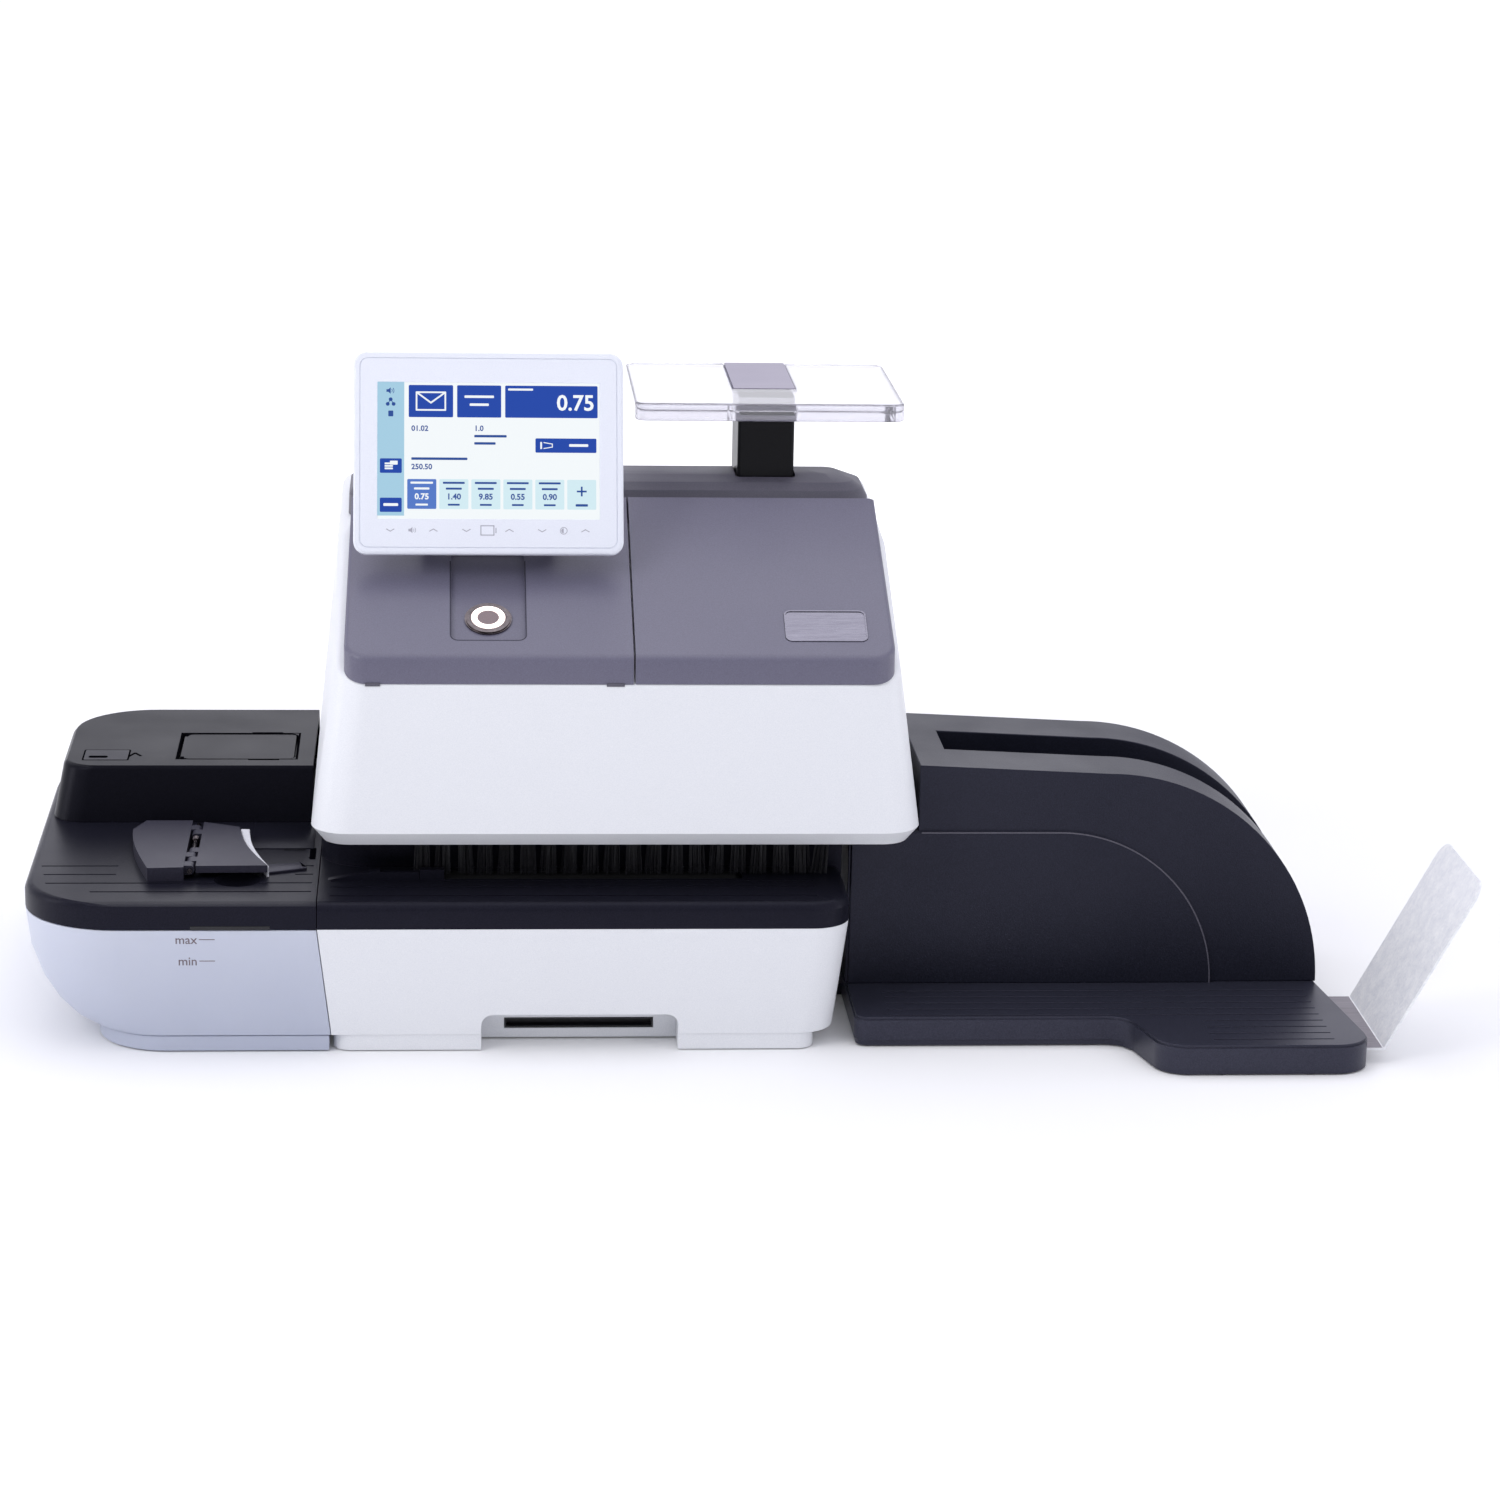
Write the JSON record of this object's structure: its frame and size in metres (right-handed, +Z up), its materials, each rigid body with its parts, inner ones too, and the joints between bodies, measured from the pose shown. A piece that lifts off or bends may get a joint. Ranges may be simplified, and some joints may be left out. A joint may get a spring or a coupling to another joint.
{
  "type": "postage meter",
  "caption": "Desk machine that seals, weighs and franks letters: sealer with water tank, sloping print head, tilting display, scale and catch tray.",
  "frame": {"origin": "bottom centre of the whole machine's bounding box", "axes": "+X along the letters' run towards the catch tray, +Y from the operator to the back, +Z up"},
  "size_m": [0.9746, 0.4228, 0.4458],
  "materials": {
    "white_plastic": "fine grain",
    "tank_plastic": "translucent",
    "cover_grey": "fine grain",
    "hump_grey": "fine grain",
    "black_plastic": "fine grain",
    "rubber": "matt",
    "bristle": "matt",
    "aluminium": "milled",
    "steel": "brushed",
    "chrome": "polished",
    "button": "satin",
    "light_ring": "lit",
    "screen": "lit",
    "clear_plate": "clear",
    "plate_cap": "satin",
    "felt": "felt",
    "board": "solder mask"
  },
  "bodies": {
    "machine": {"base_housing": "white_plastic", "base_plinth": "white_plastic", "head_housing": "white_plastic", "sealer_chassis": "tank_plastic", "sealer_plinth": "tank_plastic", "control_cover": "cover_grey", "rear_cover": "hump_grey", "display_neck": "hump_grey", "rear_frame": "black_plastic", "transport_deck": "black_plastic", "sealer_deck": "black_plastic", "sealer_hood": "black_plastic", "flap_plough": "black_plastic", "tray_floor": "black_plastic", "tray_wall": "black_plastic", "tray_frame": "black_plastic", "docking_bar": "black_plastic", "head_floor": "black_plastic", "cartridge_holder": "black_plastic", "front_slot_liner": "black_plastic", "entry_guide": "black_plastic", "letter_sensor": "black_plastic", "button_switch": "black_plastic", "power_inlet": "black_plastic", "ink_cartridges": "black_plastic", "rubber_feet": "rubber", "transport_belt": "rubber", "brush_bristles": "bristle", "brush_holder": "aluminium", "load_cell_bracket": "aluminium", "gearmotor": "steel", "stop_rails": "steel", "lid_hinge_brackets": "steel", "lid_hinge_pins": "steel", "display_hinge_pin": "steel", "filler_hinge_pin": "steel", "flap_hinge_pin": "steel", "power_supply": "steel", "data_sockets": "steel", "button_bezel": "chrome", "moistener_felt": "felt", "main_board": "board"},
    "cartridge_lid": {"cartridge_lid": "cover_grey", "name_plate": "chrome"},
    "display": {"display_back": "white_plastic", "display_bezel": "white_plastic", "display_screen": "screen"},
    "start_button": {"start_button": "button", "button_light_ring": "light_ring"},
    "scale_platform": {"load_cell": "aluminium", "scale_post": "black_plastic", "plate_cap": "plate_cap", "weighing_plate": "clear_plate"},
    "drive_roller": {"drive_roller": "steel"},
    "idler_roller": {"idler_roller": "steel"},
    "flap_guide": {"flap_guide": "black_plastic"},
    "filler_lid": {"filler_lid": "black_plastic"},
    "water_tank": {"water_tank": "tank_plastic"},
    "letter_stop": {"letter_stop": "steel"}
  },
  "joints": [
    {"name": "lid_hinge", "type": "hinge", "parent": "machine", "child": "cartridge_lid", "pos_m": [0.01765, 0.04061, 0.3317], "axis": [-1, 0, 0], "range_deg": [0, 80]},
    {"name": "display_tilt", "type": "hinge", "parent": "machine", "child": "display", "pos_m": [-0.17635, -0.00552, 0.3393], "axis": [-1, 0, 0], "range_deg": [0, 35]},
    {"name": "start_press", "type": "slide", "parent": "machine", "child": "start_button", "axis": [0, 0.4617, -0.887], "range_m": [0, 0.002], "stiffness_N_per_m": 600, "springref_m": -0.002},
    {"name": "scale_press", "type": "slide", "parent": "machine", "child": "scale_platform", "axis": [0, 0, -1], "range_m": [0, 0.001], "stiffness_N_per_m": 8000, "springref_m": -0.0012},
    {"name": "drive_spin", "type": "hinge", "parent": "machine", "child": "drive_roller", "pos_m": [-0.01235, -0.0954, 0.0972], "axis": [0, 1, 0], "continuous": true},
    {"name": "idler_spin", "type": "hinge", "parent": "machine", "child": "idler_roller", "pos_m": [-0.21235, -0.0954, 0.0972], "axis": [0, 1, 0], "continuous": true},
    {"name": "flap_hinge", "type": "hinge", "parent": "machine", "child": "flap_guide", "pos_m": [-0.37685, -0.0524, 0.1121], "axis": [0, -1, 0], "range_deg": [0, 85]},
    {"name": "filler_hinge", "type": "hinge", "parent": "machine", "child": "filler_lid", "pos_m": [-0.39045, 0.0951, 0.1415], "axis": [0, -1, 0], "range_deg": [0, 95]},
    {"name": "tank_slide", "type": "slide", "parent": "machine", "child": "water_tank", "axis": [0, -1, 0], "range_m": [0, 0.1]},
    {"name": "stop_slide", "type": "slide", "parent": "machine", "child": "letter_stop", "axis": [1, 0, 0], "range_m": [-0.008, 0.08]}
  ],
  "couplings": [
    {"joint": "idler_spin", "follows": "drive_spin", "ratio": 1}
  ]
}
